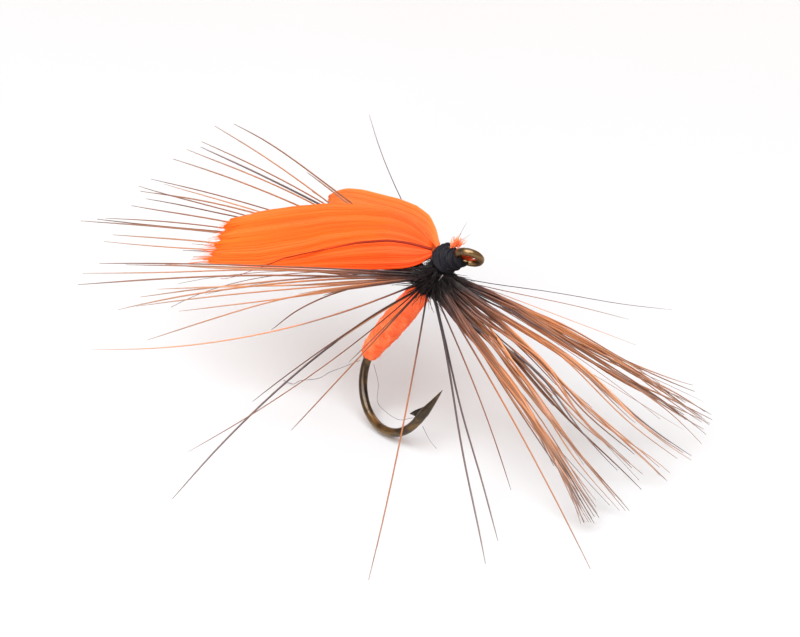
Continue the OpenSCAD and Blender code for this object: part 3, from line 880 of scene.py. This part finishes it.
class WingShape:
    """The curved surface of a slip, by s from root to tip and v from its top edge to its bottom one."""

    def __init__(self, w):
        up, out, self.side = math.radians(w["up"]), math.radians(w["out"]), w["side"]
        self.right = self.side < 0
        self.along_dir = np.array([
            -math.cos(up) * math.cos(out), self.side * math.sin(out), math.sin(up) * math.cos(out),
        ])
        self.up_dir = np.array([math.sin(up), 0, math.cos(up)])
        self.out_dir = -self.side * np.cross(self.up_dir, self.along_dir)
        self.root, self.length, self.bow = np.array(w["root"]), w["length"], w["bow"]
        self.fine = np.linspace(0, 1, 201)
        at, top, low = (np.array(c) for c in zip(*w["stations"]))
        self.top, self.low = self.eased(at, top), self.eased(at, low)
        self.stem_at, self.stem_v = (np.array(c) for c in zip(*w["stem"]))

    def eased(self, at, values):
        """The outline with its corners rounded."""
        kernel = np.hanning(15) / np.hanning(15).sum()
        return np.convolve(np.pad(np.interp(self.fine, at, values), 7, mode="edge"), kernel, mode="valid")

    def stem(self, s):
        return np.interp(s, self.stem_at, self.stem_v)

    def width(self, s):
        return np.interp(s, self.fine, self.top + self.low)

    def surface(self, s, v, lift=0.0):
        top, low = np.interp(s, self.fine, self.top), np.interp(s, self.fine, self.low)
        low = low + 1.5 * np.maximum(0, s - 1)
        out = self.bow * np.minimum(1, s * 5) * (1 - (2 * v - 1) ** 2) + lift
        return (
            self.root + (s * self.length)[:, None] * self.along_dir
            + (top - v * (top + low))[:, None] * self.up_dir + out[:, None] * self.out_dir
        )


def add_web(shell, shape):
    """The thin web under the fibres: hooked barbules that hold the vane together."""
    rows, cols = 40, 18
    s, v = np.meshgrid(np.linspace(0.0, 0.92, rows), np.linspace(0.01, 0.99, cols), indexing="ij")
    if shape.right:
        s = s + s ** 4 * (0.07 * np.clip((v - 0.35) / 0.65, -0.9, 1))
    s = (s - 0.02 * s ** 6 * np.sin(v * 31)).ravel()
    v = v.ravel()
    sheets = [shape.surface(s, v, lift) for lift in ((-0.012, -0.036) if shape.right else (0.036, 0.012))]
    faces = []
    for i in range(rows - 1):
        for k in range(cols - 1):
            near, far = i * cols + k, (i + 1) * cols + k
            faces += [
                (near, near + 1, far + 1, far),
                tuple(rows * cols + q for q in (near, far, far + 1, near + 1)),
            ]
    edge = (
        [k for k in range(cols)] + [i * cols + cols - 1 for i in range(1, rows)]
        + [(rows - 1) * cols + k for k in range(cols - 2, -1, -1)] + [i * cols for i in range(rows - 2, 0, -1)]
    )
    for p, q in zip(edge, edge[1:] + edge[:1]):
        faces.append((q, p, p + rows * cols, q + rows * cols))
    shell.add(
        np.vstack(sheets), faces, along=np.tile(s, 2), tone=0.45,
        across=np.tile((v > shape.stem(s)).astype(float), 2), row=np.tile(v, 2),
    )


def add_fibres(shell, shape, draw):
    """Fine fibres laid edge to edge each side of the stem, frayed at the tip of the right wing."""
    right = shape.right
    end_spread = 0.030 if right else 0.01
    for vane, count in (("upper", 60), ("lower", 34)):
        tone_run = np.convolve(draw.random(count + 8), np.ones(5) / 5, mode="valid")
        for k in range(count):
            f = (k + 0.5 + draw.uniform(-0.3, 0.3)) / count
            end = 1 - abs(draw.normal(0, end_spread)) - (0.03 if right and draw.random() < 0.15 else 0)
            if right:
                v_at_tip = f * 0.75 if vane == "upper" else 0.8 + 0.2 * f
                end += np.interp(v_at_tip, (0, 0.3, 0.6, 0.85, 1.0), (-0.075, -0.02, 0.04, 0.09, 0.17))
            s = np.linspace(0, end, 44)
            stem = shape.stem(s)
            sway = 0.006 * np.sin(7 * s + 3 * f + 0.4 * draw.random()) * s
            v = np.clip((f * stem if vane == "upper" else stem + f * (1 - stem)) + sway, 0.0, 1.0)
            gap = (stem if vane == "upper" else 1 - stem) / count
            wide = np.clip(gap * shape.width(s) * 0.95, 0.014, 0.06)
            wide = wide * np.clip((end - s) / 0.11, 0.2 if right else 0.7, 1)
            path = shape.surface(s, v, draw.uniform(-0.006, 0.012) * (1 if right else -1))
            tone = 0.55 + 1.3 * (tone_run[k] - 0.5) + draw.uniform(-0.12, 0.12) + 0.06 * np.sin(9 * s + k)
            # painted light: the left wing's fibres get a higher tone here and a later place on the colour ramp below,
            # which lightens the far wing
            tone = np.clip(tone, 0, 0.72) if right else np.clip(tone + 0.52, 0, 1)
            low = 1.0 if vane == "lower" else np.clip((f - 0.75) * 2.2, 0, 1) * np.clip(1 - s, 0, 1)
            shell.tube(
                path, wide, np.minimum(0.018, wide), sides=6, side=shape.up_dir,
                along=s if right else 0.85 + 0.15 * s, tone=tone, row=v, across=low,
            )


def build_wing(node, w):
    """A slip of feather: its web, its fibres and its stem, all on the wing's own body."""
    shape = WingShape(w)
    vane = Shells("along", "across", "tone", "row")
    add_web(vane, shape)
    add_fibres(vane, shape, np.random.default_rng(w["seed"]))
    finish_piece(vane.build(node + "_vane", WING), node, "orange_feather", node)
    # the stem: on the right wing a dark red line along the crease where the upper vane overlaps the lower one, painted
    # shade for that crease
    rib = Shells("along")
    rib_end = 0.78
    s = np.linspace(0, rib_end, 40)
    thick = (0.062 if shape.right else 0.04) * (1 - s / rib_end) ** 0.7 + 0.010
    rib.tube(
        shape.surface(s, shape.stem(s), 0.03 if shape.right else -0.03), thick, thick * 0.8, sides=8,
        side=shape.up_dir, along=s / rib_end if shape.right else 0.7 + 0.3 * s,
    )
    if shape.right:
        # a fine hair leaves the stem and crosses the lower edge
        s = np.linspace(0.45, 0.94, 30)
        v = np.interp(s, (0.45, 0.55, 0.64, 0.80, 0.93), (0.70, 0.77, 0.85, 1.10, 1.33))
        rib.tube(shape.surface(s, v, 0.05), 0.026 - 0.03 * (s - 0.45), sides=6, side=shape.up_dir, along=0.4)
    finish_piece(rib.build(node + "_stem", STEM), node, "orange_feather")


# ---------------------------------------------------------------- small trim
def heading(rise, yaw):
    """A forward direction, raised by rise and turned to the fly's left by yaw, in radians."""
    return np.array([math.cos(rise) * math.cos(yaw), math.cos(rise) * math.sin(yaw), math.sin(rise)])


def build_butts():
    """The wing feathers' cut ends: a tuft of short stubs, ends bound down along the eye, and a few dark hairs."""
    draw = np.random.default_rng(71)
    tuft = Shells("tone")
    t = np.linspace(0, 1, 6)
    for _ in range(TUFT_STUBS):
        start = np.array([7.62 + draw.uniform(-0.14, 0.22), draw.normal(0.02, 0.19), 0.20 + draw.uniform(-0.08, 0.08)])
        way = heading(math.radians(draw.uniform(10, 55)), math.radians(draw.normal(12, 26)))
        path = start + (draw.uniform(0.2, 0.46) * t)[:, None] * way + (0.05 * t ** 2)[:, None] * draw.normal(0, 1, 3)
        tuft.tube(path, 0.028 * (1 - 0.6 * t), sides=5, tone=0.4 + 0.6 * draw.random())
    finish_piece(tuft.build("wing_butt_tuft", DUBBING), BODY, "orange_feather", "wing_butts")

    # ends that close the eye's hole from behind; every fourth one is dark and reaches across the whole hole, painted
    # shade for the inside of the ring
    red, dark = Shells("along"), Shells("along", "tone")
    ends, hole_r = 15, 0.42
    for k in range(ends):
        off = 0.34 * (2 * k / (ends - 1) - 1)
        reach = math.sqrt(hole_r ** 2 - off ** 2)
        is_dark = k % 4 == 3
        first = EYE - 0.72 * EYE_OUT + 0.5 * off * EYE_ACROSS
        last = EYE + (reach if is_dark else reach * draw.uniform(0.2, 0.8)) * EYE_OUT + off * EYE_ACROSS
        path = first + t[:, None] * (last - first) + (0.02 * t ** 2)[:, None] * draw.normal(0, 1, 3)
        thick = 0.034 * (1 - 0.3 * t)
        if is_dark:
            dark.tube(path, thick, sides=5, along=0.1, tone=0.2)
        else:
            red.tube(path, thick, sides=5, along=0.45 + 0.25 * t)
    finish_piece(red.build("butt_ends_in_eye", STEM), BODY, "orange_feather")
    finish_piece(dark.build("dark_ends_as_eye_shade", BARB), BODY, "tying_thread")

    hairs = Shells("along", "tone")
    for rise, yaw, length in ((25, 8, 1.35), (12, 38, 0.95), (40, 30, 0.7), (50, -25, 0.5)):
        way = heading(math.radians(rise), math.radians(yaw))
        droop = (0.05 * t ** 2)[:, None] * np.array([0, 1, -1])
        path = np.array([7.6, 0.05, 0.30]) + (length * t)[:, None] * way + droop
        hairs.tube(path, 0.014 * (1 - 0.6 * t), sides=5, along=0.2 + 0.4 * t, tone=1.0)
    finish_piece(hairs.build("stray_hairs_at_head", BARB), BODY, "hackle_barb")


def build_quill_butt():
    """The quill's cut end, pale, beside the head."""
    shell = Shells()
    start = np.array([COLLAR_FRONT - 0.55, -0.1, -0.5])
    way = unit([math.sin(math.radians(60)), -0.38, -0.25])
    shell.tube(start + np.linspace(0, 0.75, 10)[:, None] * way, 0.04, 0.032, sides=10)
    pale = plain_material("cut_quill", (0.22, 0.18, 0.17), 0.5)
    finish_piece(shell.build("quill_butt_cut", pale), BODY, "hackle_stem", "hackle_quill_butt")


def build_tag():
    """The thread's cut tag."""
    shell = Shells("tone")
    t = np.linspace(0, 1, 12)
    path = np.array([7.5, -0.30, -0.5]) + np.stack([0.1 * t, 0.06 * t ** 2 - 0.25 * t, -0.4 * t], 1)
    shell.tube(path, 0.026, 0.02, sides=8, tone=0.6)
    finish_piece(shell.build("thread_tag_end", THREAD), BODY, "tying_thread", "thread_tag")


def build_strays():
    """A few loose hairs of dubbing round the bend and behind the body, as an unclipped fly has."""
    hairs = (
        (0.013, [(-1.0, 0.2, -0.6), (-1.3, 0.2, -1.6), (-1.9, 0.2, -2.3), (-1.8, 0.2, -3.0), (-1.2, 0.2, -4.1),
                 (-0.3, 0.2, -4.7)]),
        (0.012, [(-0.2, 0.5, -5.3), (-0.2, 0.5, -6.2), (-0.05, 0.5, -6.9)]),
        (0.014, [(-1.2, -0.4, -0.2), (-2.2, -0.5, 0.2), (-3.3, -0.5, 0.7), (-4.2, -0.5, 1.0), (-5.4, -0.5, 1.8),
                 (-6.0, -0.5, 2.05), (-6.5, -0.5, 2.7)]),
    )
    shell = Shells()
    for thick, points in hairs:
        shell.tube(smooth_line(points, 40), thick, sides=5)
    grey = plain_material("loose_hair", (0.10, 0.09, 0.11), 0.6)
    finish_piece(shell.build("loose_dubbing_hairs", grey), BODY, "orange_dubbing")


# ---------------------------------------------------------------- stage
def build_stage():
    """A plain pale table and soft studio light."""
    half = 0.6
    mesh = bpy.data.meshes.new("floor")
    z = FLOOR - 0.00001
    mesh.from_pydata([(-half, -half, z), (half, -half, z), (half, half, z), (-half, half, z)], [], [(0, 1, 2, 3)])
    m = Nodes("pale_table")
    tint = m.ramp(m.noise(30.0, 2.0), (0.3, (0.470, 0.458, 0.452)), (0.7, (0.480, 0.468, 0.462)))
    skin = m.node("BsdfPrincipled", Base_Color=tint, Roughness=0.7, Specular_IOR_Level=0.2)
    mesh.materials.append(m.surface(skin.outputs[0]))
    floor = bpy.data.objects.new("floor", mesh)
    bpy.context.scene.collection.objects.link(floor)

    world = bpy.data.worlds.new("studio")
    world.use_nodes = True
    sky = world.node_tree.nodes["Background"]
    sky.inputs["Color"].default_value = (1.0, 0.73, 0.61, 1)
    sky.inputs["Strength"].default_value = 0.45
    bpy.context.scene.world = world

    def softbox(name, where, size, watts, colour):
        light = bpy.data.lights.new(name, "AREA")
        light.shape = "DISK"
        light.size = size
        light.energy = watts
        light.color = colour
        lamp = bpy.data.objects.new(name, light)
        lamp.location = where
        lamp.rotation_mode = "QUATERNION"
        lamp.rotation_quaternion = (-mathutils.Vector(where)).to_track_quat("-Z", "Y")
        bpy.context.scene.collection.objects.link(lamp)

    softbox("key", (0.02, -0.17, 0.34), 0.46, 3.65, (0.92, 1.03, 1.11))
    softbox("fill", (-0.08, -0.32, 0.20), 0.34, 0.9, (1.0, 0.88, 0.80))
    softbox("back", (-0.05, 0.30, 0.26), 0.30, 0.35, (1.0, 0.90, 0.84))


VIEW_AZIMUTH = math.radians(20)
VIEW_ELEVATION = math.radians(28)
VIEW_DISTANCE = 0.26
VIEW_WIDTH = 0.04145
VIEW_TARGET = np.array([-0.004303, 0.001545, -0.005082])


def build_camera():
    back = np.array([
        math.cos(VIEW_ELEVATION) * math.sin(VIEW_AZIMUTH), -math.cos(VIEW_ELEVATION) * math.cos(VIEW_AZIMUTH),
        math.sin(VIEW_ELEVATION),
    ])
    camera = bpy.data.cameras.new("camera")
    camera.sensor_width = 36
    camera.lens = camera.sensor_width * VIEW_DISTANCE / VIEW_WIDTH
    camera.clip_start = 0.01
    camera.clip_end = 10
    eye = bpy.data.objects.new("camera", camera)
    eye.location = (VIEW_TARGET + VIEW_DISTANCE * back).tolist()
    eye.rotation_euler = (math.pi / 2 - VIEW_ELEVATION, 0, VIEW_AZIMUTH)
    bpy.context.scene.collection.objects.link(eye)
    bpy.context.scene.camera = eye
    bpy.context.scene.view_settings.view_transform = "Standard"


build_camera()
build_stage()
build_hook()
build_cement(build_threads())
build_body()
build_hackle()
for wing_node, wing in WINGS.items():
    build_wing(wing_node, wing)
build_butts()
build_quill_butt()
build_tag()
build_strays()
